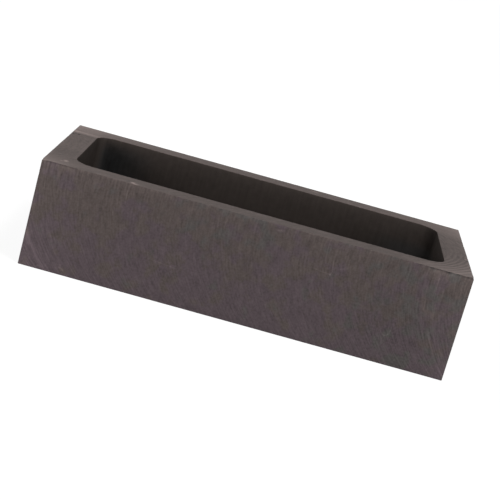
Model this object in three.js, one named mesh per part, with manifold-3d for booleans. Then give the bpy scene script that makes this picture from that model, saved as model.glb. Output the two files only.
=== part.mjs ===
// An open ingot mould, milled from one solid block of graphite.
// Millimetres. The origin is the centre of the underside. +X runs along the mould,
// +Y to its back side wall and +Z up, out of the pocket's mouth.
import * as THREE from "three";
import { mergeVertices } from "three/addons/utils/BufferGeometryUtils.js";
import Module from "manifold-3d";

const wasm = await Module();
wasm.setup();

// The block
const blockLength = 200;
const blockWidth = 95;
const blockHeight = 50;
const edgeBreak = 0.5;

// The casting pocket, with its walls measured at the rim
const endWall = 12.5;
const sideWall = 11.5;
const floorThickness = 12;
const rimCornerRadius = 9;
const rimBreak = 0.3;
const floorFilletRadius = 4;
const draftDegrees = 2;

// How finely the round stretches are cut into facets, and how far the cutter runs past the rim
const cornerSegments = 20;
const filletSegments = 10;
const cutOverrun = 3;

// Graphite: a dark warm grey with a faint sheen
const graphite = { color: "#524a4a", roughness: 0.62, metalness: 0.1 };

// Sizes that follow from the ones above
const draft = THREE.MathUtils.degToRad(draftDegrees);
const pocketLength = blockLength - 2 * endWall;
const pocketWidth = blockWidth - 2 * sideWall;
const pocketDepth = blockHeight - floorThickness;
const draftAtFloor = pocketDepth * Math.tan(draft);
const filletRadius = Math.min(floorFilletRadius, rimCornerRadius - draftAtFloor);

// A closed geometry as a solid that can be joined and cut.
function solidOf(geometry) {
  const bare = geometry.clone();
  bare.deleteAttribute("normal");
  bare.deleteAttribute("uv");
  const merged = mergeVertices(bare);
  return new wasm.Manifold(
    new wasm.Mesh({
      numProp: 3,
      vertProperties: merged.getAttribute("position").array,
      triVerts: new Uint32Array(merged.getIndex().array),
    }),
  );
}

// A solid as a geometry with its own flat face normals.
function geometryOf(solid) {
  const { vertProperties, triVerts } = solid.getMesh();
  const shared = new THREE.BufferGeometry();
  shared.setAttribute("position", new THREE.BufferAttribute(vertProperties, 3));
  shared.setIndex(new THREE.BufferAttribute(triVerts, 1));
  const geometry = shared.toNonIndexed();
  geometry.computeVertexNormals();
  return geometry;
}

// The block's plan: a rectangle whose four upright edges are broken at 45 degrees.
function blockPlan() {
  const x = blockLength / 2;
  const y = blockWidth / 2;
  return new THREE.Shape([
    new THREE.Vector2(x, -y + edgeBreak),
    new THREE.Vector2(x, y - edgeBreak),
    new THREE.Vector2(x - edgeBreak, y),
    new THREE.Vector2(-x + edgeBreak, y),
    new THREE.Vector2(-x, y - edgeBreak),
    new THREE.Vector2(-x, -y + edgeBreak),
    new THREE.Vector2(-x + edgeBreak, -y),
    new THREE.Vector2(x - edgeBreak, -y),
  ]);
}

// The block before the pocket is cut, with its top and bottom edges broken as well.
function blockBlank() {
  const blank = new THREE.ExtrudeGeometry(blockPlan(), {
    depth: blockHeight - 2 * edgeBreak,
    bevelThickness: edgeBreak,
    bevelSize: edgeBreak,
    bevelOffset: -edgeBreak,
    bevelSegments: 1,
  });
  blank.translate(0, 0, edgeBreak);
  return blank;
}

// One level of the pocket. The wall stands in from the rim's outline by the inset. The centres
// of the corners stay where they are, so that each corner narrows downwards as a cone.
function pocketRing({ inset, height }) {
  const centreX = pocketLength / 2 - rimCornerRadius;
  const centreY = pocketWidth / 2 - rimCornerRadius;
  const radius = rimCornerRadius - inset;
  const ring = [];
  for (let corner = 0; corner < 4; corner++) {
    const sideX = corner === 0 || corner === 3 ? 1 : -1;
    const sideY = corner < 2 ? 1 : -1;
    for (let step = 0; step <= cornerSegments; step++) {
      const angle = (Math.PI / 2) * (corner + step / cornerSegments);
      const x = sideX * centreX + radius * Math.cos(angle);
      const y = sideY * centreY + radius * Math.sin(angle);
      ring.push(new THREE.Vector3(x, y, height));
    }
  }
  return ring;
}

// The rounded foot of the wall, as levels from the drafted wall round to the flat floor. The
// arc is tangent to both, so it turns through a right angle less the draft.
function filletLevels() {
  const centreHeight = floorThickness + filletRadius;
  const tangentHeight = centreHeight - filletRadius * Math.sin(draft);
  const tangentInset = (blockHeight - tangentHeight) * Math.tan(draft);
  const centreInset = tangentInset + filletRadius * Math.cos(draft);
  const levels = [];
  for (let step = 0; step <= filletSegments; step++) {
    const turn = (Math.PI / 2 - draft) * (step / filletSegments);
    const angle = Math.PI + draft + turn;
    levels.push({
      inset: centreInset + filletRadius * Math.cos(angle),
      height: centreHeight + filletRadius * Math.sin(angle),
    });
  }
  return levels;
}

// The pocket's levels from above the mouth down to the floor. The broken edge of the mouth is
// a 45 degree flare, which runs on upwards past the block.
function pocketLevels() {
  const flareFoot = rimBreak * Math.tan(draft);
  const flare = { inset: -rimBreak - cutOverrun, height: blockHeight + cutOverrun };
  const mouth = { inset: flareFoot, height: blockHeight - rimBreak };
  return [flare, mouth, ...filletLevels()];
}

// A closed skin through rings of equally many points, listed from the top one to the lowest.
function loft(rings) {
  const count = rings[0].length;
  const points = rings.flat();
  const triangles = [];
  for (let level = 0; level + 1 < rings.length; level++) {
    for (let i = 0; i < count; i++) {
      const next = (i + 1) % count;
      const upper = level * count;
      const lower = upper + count;
      triangles.push(upper + i, lower + i, lower + next);
      triangles.push(upper + i, lower + next, upper + next);
    }
  }
  const bottom = (rings.length - 1) * count;
  for (let i = 1; i + 1 < count; i++) {
    triangles.push(0, i, i + 1);
    triangles.push(bottom, bottom + i + 1, bottom + i);
  }
  const skin = new THREE.BufferGeometry().setFromPoints(points);
  skin.setIndex(triangles);
  return skin;
}

// The whole mould: the blank less its drafted, round-cornered and filleted pocket.
function mouldBlock() {
  const pocket = solidOf(loft(pocketLevels().map(pocketRing)));
  const body = solidOf(blockBlank()).subtract(pocket);
  const mesh = new THREE.Mesh(geometryOf(body), new THREE.MeshStandardMaterial(graphite));
  mesh.name = "mould_block";
  return mesh;
}

const ingotMould = new THREE.Group();
ingotMould.add(mouldBlock());

export default ingotMould;
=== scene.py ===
# %% [markdown]
# # A graphite ingot mould
#
# This lesson dresses one machined part: an open mould that molten silver or gold is poured
# into. The real thing is a single block of graphite with a pocket milled down into it, so
# there is one piece to model and its looks come from how it was cut. Every outer face has
# the arcs of a facing cutter, the edges are broken and a little chipped, and the pocket is
# dark, because little light finds its way in and out again.

# %% Load the packed frame
import math

import bmesh
import bpy
from mathutils import Matrix, Vector, noise


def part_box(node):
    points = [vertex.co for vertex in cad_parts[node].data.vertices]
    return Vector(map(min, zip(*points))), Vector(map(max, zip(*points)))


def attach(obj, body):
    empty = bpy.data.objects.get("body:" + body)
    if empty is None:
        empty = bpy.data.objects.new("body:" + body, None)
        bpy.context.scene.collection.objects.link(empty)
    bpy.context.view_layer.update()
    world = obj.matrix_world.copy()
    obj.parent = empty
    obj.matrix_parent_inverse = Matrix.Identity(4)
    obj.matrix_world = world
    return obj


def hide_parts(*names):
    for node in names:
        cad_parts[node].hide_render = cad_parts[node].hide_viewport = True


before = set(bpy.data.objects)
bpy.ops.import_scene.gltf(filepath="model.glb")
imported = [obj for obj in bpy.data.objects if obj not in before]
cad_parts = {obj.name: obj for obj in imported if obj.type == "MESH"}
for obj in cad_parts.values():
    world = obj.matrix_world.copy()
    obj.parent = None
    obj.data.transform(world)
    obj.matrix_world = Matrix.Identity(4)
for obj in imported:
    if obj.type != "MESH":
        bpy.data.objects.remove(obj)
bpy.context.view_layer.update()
low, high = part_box("mould_block")
print("block", [round(side, 4) for side in high - low])

# %% [markdown]
# ## The sizes
#
# The outside of the block is read from the frame, so that the visible piece and the one used
# for collision agree. The pocket's sizes are the ones that the construction uses: the walls
# at the rim, the floor, the corner that the end mill left, the slight draft that lets a bar
# drop out, and the round foot where the walls meet the floor.

# %% Sizes in metres
MM = 0.001
LENGTH, WIDTH, HEIGHT = high - low
END_WALL = 12.5 * MM
SIDE_WALL = 11.5 * MM
FLOOR = 12 * MM
CORNER = 9 * MM
DRAFT = math.radians(2)
FOOT = 4 * MM
MOUTH_LENGTH = LENGTH - 2 * END_WALL
MOUTH_WIDTH = WIDTH - 2 * SIDE_WALL
print("mouth", round(MOUTH_LENGTH, 4), round(MOUTH_WIDTH, 4))

# %% [markdown]
# ## One way round for every ring
#
# The block is built like a stack of hoops: level rings that run from the middle of the
# underside outwards, up the sides, over the rim and down into the pocket. A cube with a
# boolean cut would be quicker, but its edges couldn't wear unevenly. Every ring has the same
# stations, so neighbours join with clean four-sided faces. A station is a place on the
# rectangle of corner centres, given as shares, and the way out from there.

# %% Stations
LONG_STEPS, SHORT_STEPS, CORNER_STEPS = 320, 150, 12
QUARTER = math.pi / 2


def stations():
    """Places and ways out, round from the right end's front corner towards the back."""
    places = []
    for side, steps in enumerate((SHORT_STEPS, LONG_STEPS, SHORT_STEPS, LONG_STEPS)):
        out = Matrix.Rotation(side * QUARTER, 2) @ Vector((1, 0))
        along = Vector((-out.y, out.x))
        for step in range(steps + 1):
            places.append((out + along * (2 * step / steps - 1), out))
        for step in range(1, CORNER_STEPS):
            turn = Matrix.Rotation(QUARTER * step / CORNER_STEPS, 2)
            places.append((out + along, turn @ out))
    return places


STATIONS = stations()
print("stations in a ring", len(STATIONS))

# %% [markdown]
# ## Wear along the edges
#
# Graphite is soft and brittle. A machinist breaks its edges with a file, and handling then
# nibbles them. A Bevel modifier would break them all alike, so here noise gives each point
# of an edge its own radius: a slow one for the hand of the file, a quick one for the grain,
# and a rare deep bite. A few larger nicks are listed one by one, because the photographed
# mould has them along the front edge. Each has its place on the top, its reach and its depth,
# in millimetres. The point of the front left corner is lost, so the top sinks towards it.

# %% How far each edge is broken
BREAK = 0.22 * MM
DEEPEST = 1.7 * MM
SLOW_SIZE, SLOW_SHARE = 11 * MM, 0.45
QUICK_SIZE, QUICK_SHARE = 1.1 * MM, 0.3
QUICK_SHIFT = Vector((7, 3, 5))
BITE_SIZE, BITE_FROM, BITE = 2.6 * MM, 0.42, 1.1 * MM
BITE_SHIFT = Vector((31, 17, 9))
NICKS = (
    (77.8, -47.5, 2.0, 0.4),
    (84.0, -47.5, 1.8, 0.8),
    (88.4, -47.5, 1.4, 1.15),
    (91.3, -47.5, 2.6, 1.2),
    (95.5, -47.5, 2.6, 0.9),
    (98.6, -47.5, 3.4, 0.7),
    (89.5, -47.5, 8.5, 0.5),
    (10.0, -47.5, 4.0, 0.3),
    (-96.0, -47.5, 5.0, 0.35),
)
LOST_POINT = (-100, -47.5, 3.0, 0.4)


def dent_at(point, x, y, reach, depth):
    """The depth of a round dent of the top at this point."""
    if point.z < high.z - MM:
        return 0
    away = math.hypot(point.x - x * MM, point.y - y * MM) / (reach * MM)
    return depth * MM * max(0, 1 - away ** 2)


def break_at(point, usual=BREAK):
    """The radius of a broken edge at this point."""
    slow = noise.noise(point / SLOW_SIZE)
    quick = noise.noise(point / QUICK_SIZE + QUICK_SHIFT)
    bite = max(0, noise.noise(point / BITE_SIZE + BITE_SHIFT) - BITE_FROM)
    nick = max(dent_at(point, *nick) for nick in NICKS)
    depth = usual * (1 + SLOW_SHARE * slow + QUICK_SHARE * quick) + BITE * bite + nick
    return min(depth, DEEPEST)


print("nicks", len(NICKS), "and no break is deeper than", round(DEEPEST / MM, 1), "mm")

# %% [markdown]
# ## The rings, one level after another
#
# `outline` gives the points of a plain ring. `round_edge` gives the rings of a broken edge:
# they follow a quarter circle whose radius is the local break. An outer edge gives way
# inwards, and the mouth's edge gives way outwards, towards the rim. The sharp corners of the
# outside can't give way further than their own radius, or the ring would fold there. The
# same limit holds on every side but the right end, so the nicks in the front edge are steep.

# %% Points of the rings
EDGE_STEPS = 4
UPRIGHT_BREAK = 0.45 * MM
FOLD_SHARE = 0.8


def outline(half_length, half_width, corner, height):
    """A plain ring at this height."""
    points = []
    for place, out in STATIONS:
        x = place.x * (half_length - corner) + out.x * corner
        y = place.y * (half_width - corner) + out.y * corner
        points.append(Vector((x, y, height)))
    return points


def off_right_end(out):
    """Whether a station lies anywhere but on the flat face of the right end."""
    return out.x < 1


def round_edge(points, inwards, upwards):
    """Rings over a broken edge, from the upright face to the level one."""
    rings = []
    for step in range(EDGE_STEPS + 1):
        angle = QUARTER * step / EDGE_STEPS
        ring = []
        for point, (_, out) in zip(points, STATIONS):
            radius = break_at(point)
            level = radius * (1 - math.cos(angle))
            if inwards > 0 and off_right_end(out):
                level = min(level, UPRIGHT_BREAK * FOLD_SHARE)
            drop = radius * (1 - math.sin(angle)) + dent_at(point, *LOST_POINT)
            ring.append(point - out.to_3d() * inwards * level - Vector((0, 0, upwards * drop)))
        rings.append(ring)
    return rings


print("rings over a broken edge", EDGE_STEPS + 1)

# %% [markdown]
# ## The outside
#
# The four upright edges are the corners of the rings. They are broken by the same small
# radius, and a ring every millimetre or two lets them be uneven on the way up. The rare
# bites also leave a few shallow pits in the faces themselves, apart from the right end.

# %% Rings of the outside
HOLD = 2 * MM
SIDE_RINGS = 30
UPRIGHT_BITE_SHARE = 0.6


def outer(height):
    return outline(LENGTH / 2, WIDTH / 2, UPRIGHT_BREAK, height)


def side_ring(height):
    """A ring of the outer faces, nibbled anywhere but on the flat of the right end."""
    ring = []
    for point, (_, out) in zip(outer(height), STATIONS):
        bite = break_at(point, 0) * UPRIGHT_BITE_SHARE if off_right_end(out) else 0
        ring.append(point - out.to_3d() * bite)
    return ring


bottom_edge = round_edge(outer(low.z), inwards=1, upwards=-1)
top_edge = round_edge(outer(high.z), inwards=1, upwards=1)
side_heights = [low.z + HOLD + (HEIGHT - 2 * HOLD) * i / SIDE_RINGS for i in range(SIDE_RINGS + 1)]
outside = [
    outline(LENGTH / 2 - 2 * HOLD, WIDTH / 2 - 2 * HOLD, UPRIGHT_BREAK, low.z),
    *reversed(bottom_edge),
    *[side_ring(height) for height in side_heights],
    *top_edge,
]
print("rings outside", len(outside))

# %% [markdown]
# ## The pocket
#
# The wall leans in by the draft. Each corner keeps its centre and loses radius on the way
# down, as a tapered cutter leaves it, so the corners are parts of cones. The foot is an arc
# that is tangent to the wall and to the floor.

# %% Rings of the pocket
FOOT_STEPS = 8


def mouth(inset, height):
    return outline(MOUTH_LENGTH / 2 - inset, MOUTH_WIDTH / 2 - inset, CORNER - inset, height)


def wall_inset(height):
    """How far the wall has leaned in at this height."""
    return (high.z - height) * math.tan(DRAFT)


def foot_rings():
    """Rings down the round foot, from the wall to the floor."""
    centre = FLOOR + FOOT
    tangent = centre - FOOT * math.sin(DRAFT)
    middle = wall_inset(tangent) + FOOT * math.cos(DRAFT)
    rings = []
    for step in range(FOOT_STEPS + 1):
        angle = math.pi + DRAFT + (QUARTER - DRAFT) * step / FOOT_STEPS
        inset = middle + FOOT * math.cos(angle)
        rings.append(mouth(inset, centre + FOOT * math.sin(angle)))
    return rings


mouth_edge = round_edge(mouth(0, high.z), inwards=-1, upwards=1)
below_mouth = high.z - HOLD
above_foot = FLOOR + FOOT + HOLD
inside = [
    *reversed(mouth_edge),
    mouth(wall_inset(below_mouth), below_mouth),
    mouth(wall_inset(above_foot), above_foot),
    *foot_rings(),
]
print("rings inside", len(inside))

# %% [markdown]
# ## The rim between them
#
# A level ring just inside the outer edge and another around the mouth keep the bend of a
# broken edge close to it. Without them the shading of a nick would run right across the rim.

# %% Rings of the rim
near_outside = outline(LENGTH / 2 - HOLD, WIDTH / 2 - HOLD, UPRIGHT_BREAK, high.z)
near_outside = [point - Vector((0, 0, dent_at(point, *LOST_POINT))) for point in near_outside]
on_rim = [near_outside, mouth(-HOLD, high.z)]
print("rings on the rim", len(on_rim))

# %% [markdown]
# ## Joining the rings
#
# The first ring is a circle of edges whose points are moved to their stations, and it is
# filled: that is the underside. Each further ring is extruded from the one before, and the
# last is filled as the pocket's floor. Bridging finished rings would join them too, but it
# may pair their points a step off, while an extruded point always follows its own.

# %% Extrude from ring to ring
def first_ring(form, points):
    ring = bmesh.ops.create_circle(form, cap_ends=False, segments=len(points), radius=1)["verts"]
    for vert, point in zip(ring, points):
        vert.co = point
    return ring


def edges_of(form, ring):
    return [form.edges.get(pair) for pair in zip(ring, ring[1:] + ring[:1])]


def next_ring(form, ring, points):
    """Extrude a ring, move the new one to its points and return it in the same order."""
    made = bmesh.ops.extrude_edge_only(form, edges=edges_of(form, ring))["geom"]
    fresh = {part for part in made if isinstance(part, bmesh.types.BMVert)}
    followers = []
    for vert, point in zip(ring, points):
        others = [edge.other_vert(vert) for edge in vert.link_edges]
        follower = next(other for other in others if other in fresh)
        follower.co = point
        followers.append(follower)
    return followers


print("first ring", len(outside[0]), "points, then", len(outside + on_rim + inside) - 1, "more rings")

# %% Build the block
def mould_form():
    form = bmesh.new()
    ring = first_ring(form, outside[0])
    bmesh.ops.edgeloop_fill(form, edges=edges_of(form, ring))
    for points in outside[1:] + on_rim + inside:
        ring = next_ring(form, ring, points)
    bmesh.ops.edgeloop_fill(form, edges=edges_of(form, ring))
    bmesh.ops.recalc_face_normals(form, faces=form.faces)
    for face in form.faces:
        face.smooth = True
    return form


form = mould_form()
print("faces", len(form.faces), "open edges", sum(not edge.is_manifold for edge in form.edges))
mesh = bpy.data.meshes.new("ingot_mould")
form.to_mesh(mesh)
form.free()
mould = bpy.data.objects.new("ingot_mould", mesh)
bpy.context.scene.collection.objects.link(mould)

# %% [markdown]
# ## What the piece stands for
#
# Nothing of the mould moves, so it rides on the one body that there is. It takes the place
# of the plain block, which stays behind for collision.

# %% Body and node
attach(mould, "root")
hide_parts("mould_block")
print(mould.name, "stands for mould_block")

# %% [markdown]
# ## A helper for sums
#
# Every face of the block was cut in its own way, so each gets its own recipe, and all of
# them are mixed from the same few patterns. The recipes could be wired by hand in the shader
# editor, but a sum is easier to read as text. This helper writes the nodes: `math` does one
# sum on plain numbers or on patterns, and `total` and `product` go on with as many as wanted.

# %% Nodes and sums
class Sums:
    """The nodes of one tree, written as sums."""

    def __init__(self, tree):
        self.tree = tree

    def node(self, kind, **settings):
        made = self.tree.nodes.new("ShaderNode" + kind)
        for setting, value in settings.items():
            setattr(made, setting, value)
        return made

    def feed(self, socket, value):
        """Link a pattern to a socket, or write a plain value into it."""
        if isinstance(value, bpy.types.NodeSocket):
            self.tree.links.new(value, socket)
        else:
            socket.default_value = value

    def filled(self, node, values):
        """Feed a node's first sockets in their order."""
        for socket, value in zip(node.inputs, values):
            self.feed(socket, value)
        return node

    def math(self, operation, *values):
        return self.filled(self.node("Math", operation=operation), values).outputs[0]

    def vector_math(self, operation, *values):
        made = self.filled(self.node("VectorMath", operation=operation), values)
        return made.outputs["Value" if operation == "LENGTH" else "Vector"]

    def total(self, *values):
        result = values[0]
        for value in values[1:]:
            result = self.math("ADD", result, value)
        return result

    def product(self, *values):
        result = values[0]
        for value in values[1:]:
            result = self.math("MULTIPLY", result, value)
        return result

    def between(self, value, first, second, start=0, end=1):
        """A straight line from the first number to the second, as a value goes from start to end."""
        made = self.filled(self.node("MapRange"), (value, start, end, first, second))
        return made.outputs["Result"]


print("sums", [name for name in vars(Sums) if not name.startswith("_")])

# %% [markdown]
# ## A helper for finishes
#
# A recipe is a material with the patterns that the finishes share. Each finish keeps its
# distances by name, so that `zone` can say in a line that something shows between two of
# them, and `near` that it is strongest at a border or in a corner. All tables of distances
# are in millimetres. `mixed` adds up named patterns by their strengths.

# %% Patterns and zones
NOISE_GAIN = 6


class Recipe(Sums):
    """A finish whose patterns follow the piece's own coordinates."""

    def __init__(self, name):
        self.material = bpy.data.materials.new(name)
        self.material.use_nodes = True
        super().__init__(self.material.node_tree)
        self.shader = self.tree.nodes["Principled BSDF"]
        self.place = self.node("TexCoord").outputs["Object"]
        self.x, self.y, self.z = self.filled(self.node("SeparateXYZ"), (self.place,)).outputs

    def vector(self, *values):
        return self.filled(self.node("CombineXYZ"), values).outputs[0]

    def noise(self, place, size, detail=2):
        """Smooth patches of this size, mostly between -1 and 1."""
        made = self.node("TexNoise")
        self.feed(made.inputs["Vector"], place)
        made.inputs["Scale"].default_value = 1 / size
        made.inputs["Detail"].default_value = detail
        return self.math("MULTIPLY_ADD", made.outputs["Fac"], NOISE_GAIN, -NOISE_GAIN / 2)

    def ramp(self, value, start, full):
        """0 at the start and 1 where it is full, whichever of the two is larger."""
        made = self.node("MapRange", interpolation_type="SMOOTHSTEP")
        return self.filled(made, (value, start, full)).outputs["Result"]

    def zone(self, away, limits):
        """The product of ramps, each on one of the named distances."""
        ramps = [self.ramp(away[name], start * MM, full * MM) for name, start, full in limits]
        return self.product(*ramps)

    def zones(self, away, table):
        return {name: self.zone(away, limits) for name, limits in table.items()}

    def near(self, away, places):
        """Strongest where the named distances are 0, and down to a third at each one's reach."""
        result = 0
        for strength, reaches in places:
            shares = [self.product(away[name], -1 / (reach * MM)) for name, reach in reaches.items()]
            fading = self.math("EXPONENT", self.total(*shares))
            result = self.math("MULTIPLY_ADD", fading, strength, result)
        return result

    def mixed(self, patterns, strengths):
        """The named patterns added up, each times its strength."""
        result = 0
        for name, strength in strengths.items():
            result = self.math("MULTIPLY_ADD", patterns[name], strength, result)
        return result


print("patterns", [name for name in vars(Recipe) if not name.startswith("_")])

# %% [markdown]
# ## From patterns to a finish
#
# The shader takes one colour, one roughness and one normal. `choose` and `blend` mix two
# patterns or two colours by a share, `relief` turns a height into a bump, and `finish` hands
# the results to the shader. Graphite has little gloss, so the shine is low everywhere.

# %% Colours, relief and the shader
SHINE = 0.22


def choose(recipe, share, first, second):
    """The first pattern where the share is 0, and the second where it is 1."""
    made = recipe.node("Mix", data_type="FLOAT")
    factor, _, one, other = made.inputs[:4]
    for socket, value in ((factor, share), (one, first), (other, second)):
        recipe.feed(socket, value)
    return made.outputs[0]


def blend(recipe, share, first, second):
    """The same with colours. The first one may be a blend itself."""
    made = recipe.node("Mix", data_type="RGBA")
    recipe.feed(made.inputs["Factor"], share)
    colours = [socket for socket in made.inputs if socket.type == "RGBA"]
    for socket, colour in zip(colours, (first, second)):
        recipe.feed(socket, (*colour, 1) if isinstance(colour, tuple) else colour)
    return next(socket for socket in made.outputs if socket.type == "RGBA")


def relief(recipe, height, depth):
    made = recipe.node("Bump")
    made.inputs["Strength"].default_value = 1
    made.inputs["Distance"].default_value = depth
    recipe.feed(made.inputs["Height"], height)
    recipe.feed(recipe.shader.inputs["Normal"], made.outputs["Normal"])


def finish(recipe, colour, factor, roughness, shine=SHINE):
    """Give the shader a colour times a factor, and return the material."""
    brightened = recipe.node("VectorMath", operation="SCALE")
    recipe.feed(brightened.inputs[0], colour)
    recipe.feed(brightened.inputs["Scale"], factor)
    recipe.feed(recipe.shader.inputs["Base Color"], brightened.outputs[0])
    recipe.feed(recipe.shader.inputs["Roughness"], roughness)
    recipe.shader.inputs["Specular IOR Level"].default_value = shine
    print(recipe.material.name, "has", len(recipe.tree.nodes), "nodes")
    return recipe.material


print("shine", SHINE)

# %% [markdown]
# ## The marks of the facing cutter
#
# A facing cutter is a wide disc with a few teeth. It travels along the face while it turns,
# and each tooth leaves an arc. All arcs have the cutter's radius and their centres lie on
# its path, so one number says which arc a point is on: how far along the path the cutter
# was. Noise on that number gives streaks that bend as the real ones do. Along an arc the
# streaks change slowly, at the pace given here.

# %% Streaks that follow the arcs
BROAD_SIZE, BROAD_PACE = 1.7 * MM, 0.2
TEETH_SIZE, TEETH_PACE = 0.8 * MM, 0.15


def arc_number(recipe, along, across, centre, radius, way):
    """Where the cutter was. Way is 1 when the arcs bulge towards low numbers, and else -1."""
    aside = recipe.math("SUBTRACT", across, centre)
    rest = recipe.math("MULTIPLY_ADD", recipe.product(aside, aside), -1, radius ** 2)
    reach = recipe.math("SQRT", recipe.math("MAXIMUM", rest, 0))
    return recipe.math("MULTIPLY_ADD", reach, way, along)


def streaks(recipe, number, across, seed):
    """Broad streaks of the feed and the short, narrow lines of single teeth."""
    slow = recipe.vector(number, recipe.product(across, BROAD_PACE), seed)
    slower = recipe.vector(number, recipe.product(across, TEETH_PACE), seed + 1)
    broad = recipe.noise(slow, BROAD_SIZE, detail=1)
    teeth = recipe.noise(slower, TEETH_SIZE, detail=0)
    return {"broad": broad, "teeth": teeth}


print("streaks", round(BROAD_SIZE / MM, 1), "mm wide, lines of teeth", round(TEETH_SIZE / MM, 1), "mm")

# %% [markdown]
# ## The grain of the block
#
# Graphite blocks are pressed from powder, so a cut face is mottled by itself. Three sizes of
# noise in space do for that: patches, specks and a slow tint. The streaks and the patches
# also make a very shallow relief, which breaks up the gloss.

# %% Grain and relief
PATCH_SIZE, SPECK_SIZE, TINT_SIZE = 3.2 * MM, 1 * MM, 8 * MM
CUT_RELIEF = {"broad": 1, "teeth": 1, "patches": 0.5}
CUT_DEPTH = 0.006 * MM
ROUGHNESS = 0.88


def grain(recipe, seed):
    place = recipe.vector_math("ADD", recipe.place, (seed, seed / 3, -seed))
    return {
        "patches": recipe.noise(place, PATCH_SIZE, detail=3),
        "specks": recipe.noise(place, SPECK_SIZE, detail=1),
        "tint": recipe.noise(place, TINT_SIZE, detail=3),
    }


def cut_relief(recipe, patterns):
    relief(recipe, recipe.mixed(patterns, CUT_RELIEF), CUT_DEPTH)


print("the cut is", round(CUT_DEPTH / MM, 4), "mm deep")

# %% [markdown]
# ## Marks with a place of their own
#
# A few marks are not part of any pattern: a scratch shaped like an L, a dent like a U, a
# bruise on the edge, a painted glint on the back of the rim, and painted shade under the top
# edge at both ends and in the notches near the right end. They could be painted on an image,
# but a line that is written down stays sharp from close by. Each is a soft line between two
# points of the face, or a spot where the two are the same. Its reach and its strength come
# last, and a strength below 0 makes it dark.

# %% Marks of the front
FRONT_MARKS = (
    ((37.5, 41.0), (38.4, 35.8), 0.6, 0.4),
    ((38.4, 35.8), (37.8, 34.2), 0.4, 0.4),
    ((37.8, 34.2), (33.4, 34.5), 0.5, 0.55),
    ((33.4, 34.5), (28.8, 35.2), 0.45, 0.25),
    ((41.5, 37.8), (44.5, 38.8), 0.5, 0.35),
    ((66.0, 17.5), (67.0, 14.6), 0.45, 0.2),
    ((67.0, 14.6), (68.9, 13.4), 0.5, 0.25),
    ((68.9, 13.4), (70.3, 14.2), 0.55, 0.3),
    ((70.3, 14.2), (71.0, 16.2), 0.55, 0.35),
    ((71.0, 16.2), (71.2, 19.5), 0.45, 0.25),
    ((67.9, 15.8), (68.6, 16.2), 1.2, -0.25),
    ((67.4, 20.0), (68.1, 17.4), 0.5, 0.4),
    ((67.7, 12.4), (68.7, 9.4), 0.4, 0.35),
    ((-59.6, 46.6), (-59.3, 40.5), 0.5, 0.4),
    ((-81.5, 3.6), (-79.4, 2.7), 0.7, 0.75),
    ((-80.4, 2.2), (-81.0, 4.6), 0.6, 0.6),
    ((-91.0, 1.8), (-88.5, 1.4), 0.7, 0.35),
    ((-46.0, 19.0), (-30.0, 17.6), 0.4, 0.3),
    ((-34.0, 20.5), (-31.0, 15.5), 0.4, 0.3),
    ((-63.9, 36.0), (-63.4, 33.8), 0.5, 0.4),
    ((82.0, 35.0), (82.4, 30.0), 0.4, 0.4),
    ((85.0, 48.0), (85.3, 40.0), 0.4, 0.35),
    ((9.5, 47.4), (12.5, 47.9), 0.7, 0.35),
    ((-98.8, 15.5), (-97.2, 11.0), 2.4, 0.32),
    ((37.8, 34.2), (37.8, 34.2), 0.9, 1.4),
    ((81.5, 47.2), (90.5, 47.2), 4.5, 0.3),
    ((82.0, 48.7), (90.0, 48.7), 1.4, 0.25),
    ((-97.5, 48.6), (-85.0, 48.6), 1.8, 0.2),
    # Painted shade under the top edge at both ends, darkest at a nick near the right end.
    ((99.0, 49.9), (80.0, 49.9), 0.9, -0.75),
    ((80.0, 49.9), (75.0, 49.9), 0.6, -0.3),
    ((88.9, 49.3), (88.0, 49.3), 0.9, -0.6),
    ((-84.0, 49.9), (-97.5, 49.9), 0.7, -0.45),
    ((58.0, 20.0), (94.0, 14.0), 16.0, -0.08),
)
print("marks on the front", len(FRONT_MARKS))

# %% Marks of the rim
RIM_MARKS = (
    ((-90.6, -39.5), (-90.6, -37.5), 1.7, 2.2),
    ((-92.6, -40.6), (-92.6, -39.6), 1.3, 1.2),
    ((-98.0, 29.0), (-98.0, 31.0), 1.6, 0.6),
    ((-98.9, 22.0), (-98.9, 24.2), 1.1, -1.1),
    ((-96.3, 23.6), (-96.3, 25.4), 1.0, -1.0),
    ((-58.1, -44.5), (-57.1, -46.0), 2.1, 2.9),
    ((98.6, -15.4), (98.6, -14.0), 1.0, 0.9),
    ((99.0, -17.6), (98.0, -16.4), 0.8, -0.8),
    # A painted glint on the back edge of the rim.
    ((23.0, 43.4), (24.8, 42.6), 1.6, 0.9),
    ((99.6, -46.2), (97.4, -47.2), 1.6, -1.4),
    ((-86.0, -46.2), (-77.0, -46.2), 4.0, -0.35),
    ((68.0, -42.5), (78.0, -40.5), 4.0, 0.22),
)
print("marks on the rim", len(RIM_MARKS))

# %% [markdown]
# ## Drawing a mark
#
# The face is turned and moved until the mark lies in the middle along one direction. What is
# left of the distance past its ends and beside it then fades out over its reach. The
# mottling breaks every mark up a little, as the grain does on the real block.

# %% A soft line
BROKEN_SHARE = 0.4


def soft_line(recipe, along, across, start, end, reach):
    """1 on a line between two points in millimetres, and 0 from its reach outwards."""
    start, end = Vector(start) * MM, Vector(end) * MM
    angle = math.atan2(end.y - start.y, end.x - start.x)
    middle = Matrix.Rotation(-angle, 2) @ ((start + end) / 2)
    turned = recipe.node("Mapping")
    recipe.feed(turned.inputs["Vector"], recipe.vector(along, across, 0))
    turned.inputs["Location"].default_value = (-middle.x, -middle.y, 0)
    turned.inputs["Rotation"].default_value = (0, 0, -angle)
    half = ((end - start).length / 2, 0, 0)
    folded = recipe.vector_math("ABSOLUTE", turned.outputs[0])
    past = recipe.vector_math("MAXIMUM", recipe.vector_math("SUBTRACT", folded, half), (0, 0, 0))
    return recipe.ramp(recipe.vector_math("LENGTH", past), reach * MM, 0)


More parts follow.
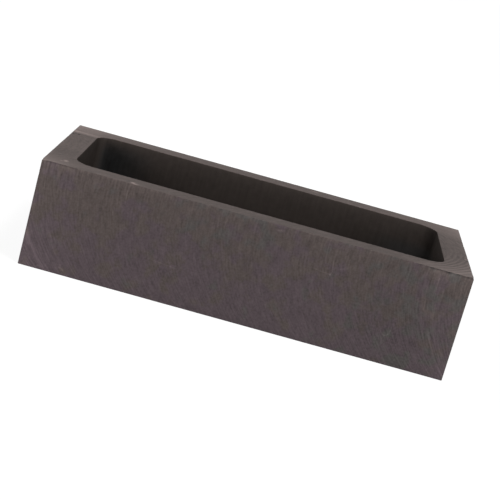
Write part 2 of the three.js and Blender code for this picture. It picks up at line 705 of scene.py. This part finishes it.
def marks(recipe, along, across, wanted, patches):
    """All the marks of a face added up."""
    lines = 0
    for start, end, reach, strength in wanted:
        line = soft_line(recipe, along, across, start, end, reach)
        lines = recipe.math("MULTIPLY_ADD", line, strength, lines)
    broken = recipe.math("MULTIPLY_ADD", patches, BROKEN_SHARE, 1 - BROKEN_SHARE / 2)
    return recipe.product(lines, broken)


longest = max((Vector(end) - Vector(start)).length for start, end, _, _ in FRONT_MARKS)
print("the longest mark on the front is", round(longest, 1), "mm")

# %% [markdown]
# ## Single turns of the cutter
#
# At both ends of the front a few turns of the cutter have left a paler arc. Each has its
# number, its reach, its strength and the height up to which it shows. The rim gets such arcs
# too, near its right front corner.

# %% Pale arcs
FRONT_LINES = (
    (-44.6, 1.5, 0.38, 60),
    (-33.6, 1.0, 0.14, 24),
    (141.6, 0.8, 0.12, 60),
    (144.4, 1.0, 0.2, 24),
    (147.2, 2.4, 0.12, 60),
)
LINE_END = 4


def pale_arc(recipe, number, place, reach):
    """1 on the arc with this number, and 0 from its reach outwards."""
    away = recipe.math("ABSOLUTE", recipe.math("SUBTRACT", number, place * MM))
    return recipe.ramp(away, reach * MM, 0)


def turns(recipe, number, wanted):
    """The pale arcs of single turns added up."""
    result = 0
    for place, reach, strength, height in wanted:
        line = recipe.product(pale_arc(recipe, number, place, reach), strength)
        shown = recipe.ramp(recipe.z, (height + LINE_END) * MM, (height - LINE_END) * MM)
        result = recipe.math("MULTIPLY_ADD", line, shown, result)
    return result


print("pale arcs on the front", len(FRONT_LINES))

# %% [markdown]
# ## Sides, ends and underside
#
# These faces were cut in one pass each. The arcs are faint, and the block's own mottling is
# about as strong. The ends, the top edge and the corners are a little lighter, partly from
# handling and partly as painted light, and there the single teeth show best. Along the bottom
# edge the sides are painted a little darker, as painted shade. Each line of a table gives a
# strength, and how far the effect reaches from a border. With two borders it sits in the
# corner between them.

# %% Where the sides are lighter, and where the teeth show
HANDLING_AND_PAINTED_LIGHT = (
    (0.2, {"left": 25}),
    (0.22, {"right": 9}),
    (0.09, {"top": 6}),
    (0.07, {"top": 1.5}),
    # Painted shade along the bottom edge.
    (-0.09, {"bottom": 3}),
    (0.13, {"left": 22, "top": 7}),
    (0.13, {"left": 22, "bottom": 7}),
    (0.08, {"right": 9, "top": 7}),
    (0.08, {"right": 9, "bottom": 7}),
    (0.12, {"left": 45, "bottom": 15}),
)
TEETH_EVERYWHERE = 0.07
TEETH_SHOW = (
    (0.045, {"top": 9}),
    (0.04, {"left": 12}),
    (0.13, {"left": 22, "top": 5.5}),
    (0.09, {"left": 24, "bottom": 8}),
    (0.06, {"right": 22}),
)
SIDE_STRENGTHS = {"broad": 0.05, "patches": 0.05, "specks": 0.115}
print("effects of handling", len(HANDLING_AND_PAINTED_LIGHT))

# %% [markdown]
# ## The colours of a side
#
# Graphite isn't a neutral grey. The upper part of the photographed front is a warm brown,
# lower down it turns to plum, and the middle and the right have an olive tint. The slow tint
# of the grain makes the borders between them uneven.

# %% Brown, plum and olive
GRAPHITE_BROWN = (0.0714, 0.0563, 0.0526)
GRAPHITE_PLUM = (0.0712, 0.0539, 0.0596)
GRAPHITE_OLIVE = (0.0653, 0.0586, 0.0562)
PLUM_REACH, PLUM_START = HEIGHT * 2 / 3, -0.55
PLUM_FROM, PLUM_FULL = -0.4, 0.6
OLIVE_ZONES = {
    "middle": (("off_middle", 34, 14), ("top", 21, 9)),
    "right": (("along", 20, 80),),
}
OLIVE_STRENGTHS = {"middle": 0.9, "right": 0.8, "tint": 1}
OLIVE_FROM, OLIVE_FULL = 0.6, 1.5
OLIVE_SEED = 31


def side_colour(recipe, away, tint, seed):
    deeper = recipe.math("MULTIPLY_ADD", away["top"], 1 / PLUM_REACH, PLUM_START)
    plum = recipe.ramp(recipe.total(tint, deeper), PLUM_FROM, PLUM_FULL)
    shares = recipe.zones(away, OLIVE_ZONES)
    shares["tint"] = grain(recipe, seed + OLIVE_SEED)["tint"]
    olive = recipe.ramp(recipe.mixed(shares, OLIVE_STRENGTHS), OLIVE_FROM, OLIVE_FULL)
    return blend(recipe, olive, blend(recipe, plum, GRAPHITE_BROWN, GRAPHITE_PLUM), GRAPHITE_OLIVE)


print("brown", GRAPHITE_BROWN, "plum", GRAPHITE_PLUM, "olive", GRAPHITE_OLIVE)

# %% [markdown]
# ## One recipe for all faced sides
#
# The front, the back, the ends and the underside share their recipe. They differ in the
# direction in which the cutter travelled, in the arcs and in the seed of the noise, and only
# the front has marks and pale arcs with a place of their own.

# %% Faced sides
SIDE_ARC_CENTRE = 45 * MM
SIDE_ARC_RADIUS = 62 * MM
OLIVE_MIDDLE = -12 * MM
ROUGHNESS_CHANGE = 0.02


def side_places(recipe, along, half_length):
    """Distances on a side by name."""
    return {
        "along": along,
        "off_middle": recipe.math("ABSOLUTE", recipe.math("SUBTRACT", along, OLIVE_MIDDLE)),
        "left": recipe.math("ADD", along, half_length),
        "right": recipe.math("SUBTRACT", half_length, along),
        "top": recipe.math("SUBTRACT", high.z, recipe.z),
        "bottom": recipe.math("SUBTRACT", recipe.z, low.z),
    }


def faced(name, along, across, arcs, seed, half_length, wanted=(), lines=()):
    recipe = Recipe(name)
    along, across = getattr(recipe, along), getattr(recipe, across)
    away = side_places(recipe, along, half_length)
    number = arc_number(recipe, along, across, *arcs)
    patterns = {**streaks(recipe, number, across, seed), **grain(recipe, seed)}
    clear = recipe.total(recipe.near(away, TEETH_SHOW), TEETH_EVERYWHERE)
    factor = recipe.total(
        recipe.near(away, HANDLING_AND_PAINTED_LIGHT),
        recipe.mixed(patterns, SIDE_STRENGTHS),
        recipe.product(patterns["teeth"], clear),
        marks(recipe, along, across, wanted, patterns["patches"]),
        turns(recipe, number, lines),
        1,
    )
    colour = side_colour(recipe, away, patterns["tint"], seed)
    cut_relief(recipe, patterns)
    roughness = recipe.math("MULTIPLY_ADD", patterns["broad"], ROUGHNESS_CHANGE, ROUGHNESS)
    return finish(recipe, colour, factor, roughness)


# %% Front, back, ends and underside
FRONT_ARCS = (SIDE_ARC_CENTRE, SIDE_ARC_RADIUS, 1)
BACK_ARCS = (SIDE_ARC_CENTRE, SIDE_ARC_RADIUS, -1)
BELOW_ARCS = (4 * MM, SIDE_ARC_RADIUS, 1)
front = faced("graphite_front", "x", "z", FRONT_ARCS, 2.0, LENGTH / 2, FRONT_MARKS, FRONT_LINES)
back = faced("graphite_back", "x", "z", BACK_ARCS, 5.0, LENGTH / 2)
ends = faced("graphite_ends", "y", "z", BACK_ARCS, 9.0, WIDTH / 2)
below = faced("graphite_below", "x", "y", BELOW_ARCS, 13.0, LENGTH / 2)

# %% [markdown]
# ## Places on the rim
#
# The top was faced in two passes, and the second one, behind, overlaps the first. Where
# their paths meet there is a pale ridge, which isn't quite parallel to the edge. The recipe
# needs to know how far a point is from that ridge, from the borders and from the mouth.

# %% Distances on the rim
PASS_LINE_LEFT, PASS_LINE_RIGHT = 30.4 * MM, 26.5 * MM
RIDGE_BEFORE = 0.3 * MM


def rim_places(recipe):
    """Distances on the rim by name."""
    slope = (PASS_LINE_RIGHT - PASS_LINE_LEFT) / LENGTH
    middle = (PASS_LINE_RIGHT + PASS_LINE_LEFT) / 2
    behind = recipe.math("SUBTRACT", recipe.y, recipe.math("MULTIPLY_ADD", recipe.x, slope, middle))
    aside = recipe.math("ABSOLUTE", recipe.y)
    return {
        "x": recipe.x,
        "y": recipe.y,
        "behind": behind,
        "off_ridge": recipe.math("ABSOLUTE", recipe.math("ADD", behind, RIDGE_BEFORE)),
        "off_mouth": recipe.math("ABSOLUTE", recipe.math("ADD", recipe.x, MOUTH_LENGTH / 2)),
        "off_corner": recipe.math("SUBTRACT", MOUTH_WIDTH / 2 - CORNER / 2, aside),
        "from_middle": recipe.math("ABSOLUTE", recipe.x),
        "left": recipe.math("ADD", recipe.x, LENGTH / 2),
        "right": recipe.math("SUBTRACT", LENGTH / 2, recipe.x),
        "front": recipe.math("ADD", recipe.y, WIDTH / 2),
        "back": recipe.math("SUBTRACT", WIDTH / 2, recipe.y),
    }


print("the ridge drops by", round((PASS_LINE_LEFT - PASS_LINE_RIGHT) / MM, 1), "mm to the right")

# %% [markdown]
# ## Zones of the rim
#
# The four corners are burnished by handling, the back left one only behind the ridge, which
# makes them a little less rough, and their colour is painted much paler as painted sheen. The
# ridge and the strips at the back and the left are painted a little paler, and the strip at
# the right darker, as painted sheen that follows the way the arcs run. A narrow lip beside the
# mouth's left end carries a painted highlight, and the outer edges of both ends are a little
# paler.
# Half of the light that the eye gets from the rim is gloss, which doesn't follow the colour,
# so the strengths are written larger than they look.

# %% Zones, fades and strengths of the rim
RIM_ZONES = {
    "ridge": (("off_ridge", 3.8, 0.6),),
    "front_line": (("x", 78, 87),),
    "lip": (("off_mouth", 2, 1), ("off_corner", 0, 6)),
    "back_strip": (("y", 24, 32),),
    "left_strip": (("x", -84, -90), ("y", -20, -8)),
    "right_strip": (("x", 80, 88),),
    "outer_edge": (("from_middle", 97.5, 99.3),),
}
RIM_FADES = {"ridge": {"left": 22}, "front_line": {"front": 1.8}}
# The corners' colour is painted paler as painted sheen; their burnish shows in the roughness.
WORN_AND_SHEEN_BACK_LEFT = ((1.4, {"left": 26, "back": 18}),)
WORN_AND_SHEEN_CORNERS = (
    (1.35, {"left": 18, "front": 12}),
    (1.85, {"right": 11, "front": 13}),
    (1.15, {"right": 14, "back": 25}),
)
ALONG_FRONT = ((0.14, {"front": 5}),)
RIM_STRENGTHS = {
    "ridge": 1.35,
    "feed_lines": 2.2,
    "front_line": 0.45,
    "lip": 0.14,
    "back_strip": 0.25,
    "left_strip": 0.26,
    "right_strip": -0.12,
    "outer_edge": 0.12,
    "broad": 0.08,
    "teeth": 0.07,
    "patches": 0.08,
    "specks": 0.09,
}
print("strengths on the rim", len(RIM_STRENGTHS))

# %% [markdown]
# ## The rim's finish
#
# Both passes have arcs of their own, and the share of the second pass picks between their
# numbers, so that one set of streaks serves the whole rim. Near the right front corner each
# turn of the cutter has left a pale arc.

# %% Feed lines and the rim's recipe
RIM_BROWN = (0.085, 0.0682, 0.0635)
RIM_LEVEL = 0.97
RIM_SEED = 17.0
FIRST_ARCS, SECOND_ARCS = (-1.8 * MM, 60 * MM, -1), (79 * MM, 50 * MM, -1)
SECOND_PASS = (("behind", -0.2, 0.2),)
FEED_LINES = (32.6, 35, 37.4, 40, 42.4, 44.8, 47.7, 51.1)
FEED_LINE_REACH, FEED_LINE_GAP = 1.1, -0.35
FEED_LINES_SHOW = ((1, {"right": 24, "front": 17}),)
WORN_SHINE = -0.1


def feed_lines(recipe, number, away):
    """Pale arcs, one for each turn of the cutter, that show near the right front corner."""
    lines = FEED_LINE_GAP
    for place in FEED_LINES:
        lines = recipe.total(pale_arc(recipe, number, place, FEED_LINE_REACH), lines)
    return recipe.product(lines, recipe.near(away, FEED_LINES_SHOW))


def rim_finish():
    recipe = Recipe("graphite_rim")
    away = rim_places(recipe)
    second_pass = recipe.zone(away, SECOND_PASS)
    first = arc_number(recipe, recipe.x, recipe.y, *FIRST_ARCS)
    second = arc_number(recipe, recipe.x, recipe.y, *SECOND_ARCS)
    number = choose(recipe, second_pass, first, second)
    patterns = {**streaks(recipe, number, recipe.y, RIM_SEED), **grain(recipe, RIM_SEED)}
    patterns.update(recipe.zones(away, RIM_ZONES))
    for name, reaches in RIM_FADES.items():
        patterns[name] = recipe.product(patterns[name], recipe.near(away, ((1, reaches),)))
    patterns["feed_lines"] = feed_lines(recipe, number, away)
    back_left = recipe.product(recipe.near(away, WORN_AND_SHEEN_BACK_LEFT), second_pass)
    worn_and_sheen = recipe.total(recipe.near(away, WORN_AND_SHEEN_CORNERS), back_left)
    factor = recipe.total(
        worn_and_sheen,
        recipe.near(away, ALONG_FRONT),
        recipe.mixed(patterns, RIM_STRENGTHS),
        marks(recipe, recipe.x, recipe.y, RIM_MARKS, patterns["patches"]),
        RIM_LEVEL,
    )
    cut_relief(recipe, patterns)
    roughness = recipe.math("MULTIPLY_ADD", worn_and_sheen, WORN_SHINE, ROUGHNESS)
    return finish(recipe, RIM_BROWN, factor, roughness)


rim = rim_finish()

# %% [markdown]
# ## Places and zones in the pocket
#
# An end mill cut the walls and left upright bands on them. They look darker and warmer than
# the outside, as light that reaches the eye from there has met the graphite more than once.
# The lamps alone would leave them too pale, so their colour is written darker as well, as
# painted shade. The middle of the walls is paler lower down. The left end is painted darker
# and greyer as painted shade, with a paler band of painted light where the corner begins, a
# dark line of painted shade beside it and a darker end wall. The right end is cooler, with
# painted shade in its upper corner and painted light below it.

# %% Distances and zones in the pocket
POCKET_BAND, POCKET_SHADE_LINE = -84.9 * MM, -80.2 * MM
UPPER = ("depth", 26, 18)
RIGHT_CORNER = (("x", 82, 84.5), ("y", 16, 26), UPPER)
POCKET_ZONES = {
    # Painted shade darkens the left end, a line beside its corner, its end wall and the upper right
    # corner; painted light makes a band where the left corner begins and the wall below the right
    # corner paler.
    "dusty": (("from_middle", 60, 25), ("depth", 7, 15)),
    "sooty": (("x", -52, -80), ("x", -86.5, -82), ("depth", 0, 9), UPPER),
    "band": (("off_band", 2.4, 0.6), UPPER),
    "crease": (("off_crease", 3.5, 0.5), ("depth", 1.5, 5), UPPER),
    "end_wall": (("x", -84, -86.5),),
    "cool": (("x", 52, 74), ("depth", 8, 14)),
    "right_corner": RIGHT_CORNER,
    "below_corner": (*RIGHT_CORNER, ("depth", 9, 15)),
}


def pocket_places(recipe):
    """Distances in the pocket by name."""
    return {
        "x": recipe.x,
        "y": recipe.y,
        "depth": recipe.math("SUBTRACT", high.z, recipe.z),
        "from_middle": recipe.math("ABSOLUTE", recipe.x),
        "off_band": recipe.math("ABSOLUTE", recipe.math("SUBTRACT", recipe.x, POCKET_BAND)),
        "off_crease": recipe.math("ABSOLUTE", recipe.math("SUBTRACT", recipe.x, POCKET_SHADE_LINE)),
    }


print("zones in the pocket", list(POCKET_ZONES))

# %% [markdown]
# ## The pocket's floor
#
# On the floor the mill went round and round, so its passes follow the walls as faint steps.
# The smaller of the distances from the end and from the side says which pass a point is in.

# %% Passes on the floor
PASS_STEP = 7 * MM
PASS_LINE_SHARE = 0.1
ON_FLOOR = (("depth", 36, 37.5),)


def floor_passes(recipe, away):
    """1 on the lines between the passes of the mill on the pocket's floor."""
    from_end = recipe.math("SUBTRACT", MOUTH_LENGTH / 2, away["from_middle"])
    from_side = recipe.math("SUBTRACT", MOUTH_WIDTH / 2, recipe.math("ABSOLUTE", recipe.y))
    passes = recipe.math("DIVIDE", recipe.math("MINIMUM", from_end, from_side), PASS_STEP)
    line = recipe.ramp(recipe.math("PINGPONG", passes, 0.5), PASS_LINE_SHARE, 0)
    return recipe.product(line, recipe.zone(away, ON_FLOOR))


print("passes to the middle", round(MOUTH_WIDTH / 2 / PASS_STEP, 1))

# %% [markdown]
# ## The pocket's finish
#
# The recipe mixes the zones, the upright bands, the mottling and the passes. The painted
# shade at the left end and the cool right end also pull the brown towards a neutral dark grey,
# and the light that has met the walls before has hardly any gloss left, so the shine is lower
# still.

# %% The pocket's recipe
POCKET_BROWN = (0.0405, 0.033, 0.0296)
POCKET_GREY = (0.031, 0.0315, 0.0325)
POCKET_LEVEL = 1.05
POCKET_SEED = 23.0
POCKET_ROUGHNESS, POCKET_SHINE = 0.9, 0.04
POCKET_RELIEF, POCKET_DEPTH = {"bands": 1, "passes": 3}, 0.008 * MM
UPRIGHT_SIZE, UPRIGHT_PACE = 1.6 * MM, 0.08
# The top of the walls, just below the mouth, is painted paler as painted light.
POCKET_EDGE = ((0.25, {"depth": 1.6}),)
GREY_SHARES = {"sooty": 0.85, "cool": 0.6}
POCKET_STRENGTHS = {
    "dusty": 0.25,
    "sooty": -0.22,
    "band": 0.36,
    "crease": -0.16,
    "end_wall": -0.13,
    "cool": 0.036,
    "right_corner": -0.28,
    "below_corner": 0.6,
    "passes": 0.3,
    "bands": 0.055,
    "patches": 0.07,
}


def pocket_finish():
    recipe = Recipe("graphite_pocket")
    away = pocket_places(recipe)
    patterns = recipe.zones(away, POCKET_ZONES)
    upright = recipe.product(recipe.z, UPRIGHT_PACE)
    patterns["bands"] = recipe.noise(recipe.vector(recipe.x, recipe.y, upright), UPRIGHT_SIZE)
    patterns["patches"] = grain(recipe, POCKET_SEED)["patches"]
    patterns["passes"] = floor_passes(recipe, away)
    mixed = recipe.mixed(patterns, POCKET_STRENGTHS)
    factor = recipe.total(recipe.near(away, POCKET_EDGE), mixed, POCKET_LEVEL)
    relief(recipe, recipe.mixed(patterns, POCKET_RELIEF), POCKET_DEPTH)
    colour = blend(recipe, recipe.mixed(patterns, GREY_SHARES), POCKET_BROWN, POCKET_GREY)
    return finish(recipe, colour, factor, POCKET_ROUGHNESS, POCKET_SHINE)


pocket = pocket_finish()

# %% [markdown]
# ## Which face gets which finish
#
# In the editor the faces would be picked by hand. Here the rings say where a face is: the
# first gap between rings is the underside, then come the sides, the rim between the outer
# and the inner edge, and the pocket. The sides are told apart by the way that they look.

# %% Hand out the finishes
FINISHES = {
    "front": front,
    "back": back,
    "ends": ends,
    "below": below,
    "rim": rim,
    "pocket": pocket,
}
RIM_FROM = len(outside) - 1
POCKET_FROM = len(outside) + len(on_rim) + EDGE_STEPS - 1


def finish_name(gap, normal):
    if gap == 0:
        return "below"
    if gap >= POCKET_FROM:
        return "pocket"
    if gap >= RIM_FROM:
        return "rim"
    if abs(normal.x) > abs(normal.y):
        return "ends"
    return "front" if normal.y < 0 else "back"


for material in FINISHES.values():
    mesh.materials.append(material)
order = list(FINISHES)
for face in mesh.polygons:
    gap = min(face.vertices) // len(STATIONS)
    face.material_index = order.index(finish_name(gap, face.normal))
used = [face.material_index for face in mesh.polygons]
print("faces by finish", {name: used.count(index) for index, name in enumerate(order)})

# %% [markdown]
# ## Camera
#
# A camera set by eye would be some pixels off. This one was found by fitting a perspective
# view to the block's six outline corners and to the mouth's outline. It looks along the
# mould's width, tipped down by almost 15 degrees, and is rolled by a little more, so that
# the mould's right end hangs lower in the picture.

# %% Camera
CAMERA_PLACE = (-0.00131, -0.67503, 0.19879)
CAMERA_TURN = math.radians(-0.134)
CAMERA_TIP = math.radians(14.609)
CAMERA_ROLL = math.radians(15.533)
SENSOR_MM, LENS_MM = 36, 104.153
camera_data = bpy.data.cameras.new("camera")
camera_data.sensor_width = SENSOR_MM
camera_data.lens = LENS_MM
camera = bpy.data.objects.new("camera", camera_data)
turned = Matrix.Rotation(CAMERA_TURN, 4, "Z")
tipped = Matrix.Rotation(QUARTER - CAMERA_TIP, 4, "X")
rolled = Matrix.Rotation(CAMERA_ROLL, 4, "Z")
camera.matrix_world = Matrix.Translation(CAMERA_PLACE) @ turned @ tipped @ rolled
bpy.context.scene.collection.objects.link(camera)
bpy.context.scene.camera = camera
print("camera", [round(part, 3) for part in camera.matrix_world.translation], "lens", LENS_MM)

# %% [markdown]
# ## A white that lights nothing
#
# The photograph has a plain white ground. A brighter lamp would make the floor white, but
# the mould would turn pale with it. So the floor and the room have a white of their own,
# which only the camera, glossy surfaces and glass see, and none of it falls on the graphite.

# %% Rays that see the white
def seen_directly(sums):
    """1 for rays from the camera, from a glossy surface or through glass, and else 0."""
    rays = sums.node("LightPath").outputs
    both = sums.math("MAXIMUM", rays["Is Camera Ray"], rays["Is Glossy Ray"])
    return sums.math("MAXIMUM", both, rays["Is Transmission Ray"])


WHITE = (1, 1, 1, 1)
print("white", WHITE)

# %% [markdown]
# ## The floor
#
# A wide pale floor takes the object's soft shadow. Most of what the camera sees of it is its
# own white, so that it stays white far from the lamps and doesn't burn out below them. Close
# to the mould that white is weaker, and the shadow shows.

# %% Floor
FLOOR_SIZE = 30
FLOOR_PALE, FLOOR_SEEN = 0.8, 0.12
FLOOR_ROUGHNESS = 0.9
LIFT_NEAR, LIFT_FAR = 0.93, 1
NEAR_BY, FAR_OFF = 0.12, 0.45


def floor_material():
    recipe = Recipe("pale_floor")
    plain = recipe.shader.inputs
    plain["Roughness"].default_value = FLOOR_ROUGHNESS
    plain["Specular IOR Level"].default_value = 0
    plain["Emission Color"].default_value = WHITE
    seen = seen_directly(recipe)
    away = recipe.vector_math("LENGTH", recipe.place)
    lift = recipe.between(away, LIFT_NEAR, LIFT_FAR, NEAR_BY, FAR_OFF)
    recipe.feed(plain["Base Color"], recipe.between(seen, FLOOR_PALE, FLOOR_SEEN))
    recipe.feed(plain["Emission Strength"], recipe.between(seen, 0, lift))
    return recipe.material


form = bmesh.new()
bmesh.ops.create_grid(form, x_segments=1, y_segments=1, size=FLOOR_SIZE / 2)
floor_mesh = bpy.data.meshes.new("floor")
form.to_mesh(floor_mesh)
form.free()
floor_mesh.materials.append(floor_material())
floor = bpy.data.objects.new("floor", floor_mesh)
bpy.context.scene.collection.objects.link(floor)
print("floor", FLOOR_SIZE, "metres wide")

# %% [markdown]
# ## The room
#
# The room gives a weak, even light from all sides, and is plain white to look at.

# %% Room
ROOM_LIGHT = 0.1
world = bpy.data.worlds.new("white_room")
bpy.context.scene.world = world
world.use_nodes = True
room = Sums(world.node_tree)
sky = world.node_tree.nodes["Background"].inputs
sky["Color"].default_value = WHITE
room.feed(sky["Strength"], room.between(seen_directly(room), ROOM_LIGHT, 1))
print("room light", ROOM_LIGHT)

# %% [markdown]
# ## Lamps
#
# The walls of the pocket tell how the object was lit. The far wall fades towards its left
# corner, which the left end shades, so a low panel stands in front at the left. The end
# walls stay darker than the far one, so little comes from the sides. The rim's light comes
# from above, and from behind at the left, where it glances off the corner. Each panel has
# its azimuth and elevation in degrees, its power in watts, its width and its height. Azimuth
# 0 is in front of the mould, and 90 is at its right.

# %% Soft panels
PANEL_DISTANCE = 1.2
PANELS = (
    ("front_left", -30, 10, 4.2, 0.15, 0.24),
    ("front_low", 16, 7, 2.1, 0.4, 0.18),
    ("above_right", 42, 66, 9.2, 0.25, 0.25),
    ("right", 85, 25, 0.4, 0.45, 0.2),
    ("behind_left", -149, 34, 1.3, 0.2, 0.2),
)


def panel(name, azimuth, elevation, power, width, height):
    """A panel that faces the mould."""
    data = bpy.data.lights.new(name, "AREA")
    data.shape = "RECTANGLE"
    data.size = width
    data.size_y = height
    data.energy = power
    made = bpy.data.objects.new(name, data)
    turn = Matrix.Rotation(math.radians(azimuth), 4, "Z")
    lift = Matrix.Rotation(-math.radians(elevation), 4, "X")
    place = turn @ lift @ Vector((0, -PANEL_DISTANCE, 0))
    made.location = place
    made.rotation_euler = (-place).to_track_quat("-Z", "Y").to_euler()
    bpy.context.scene.collection.objects.link(made)
    return place


for settings in PANELS:
    print(settings[0], [round(part, 2) for part in panel(*settings)])

# %% [markdown]
# ## The picture
#
# The plain view transform keeps the colours as they are written.

# %% Picture settings
bpy.context.scene.view_settings.view_transform = "Standard"
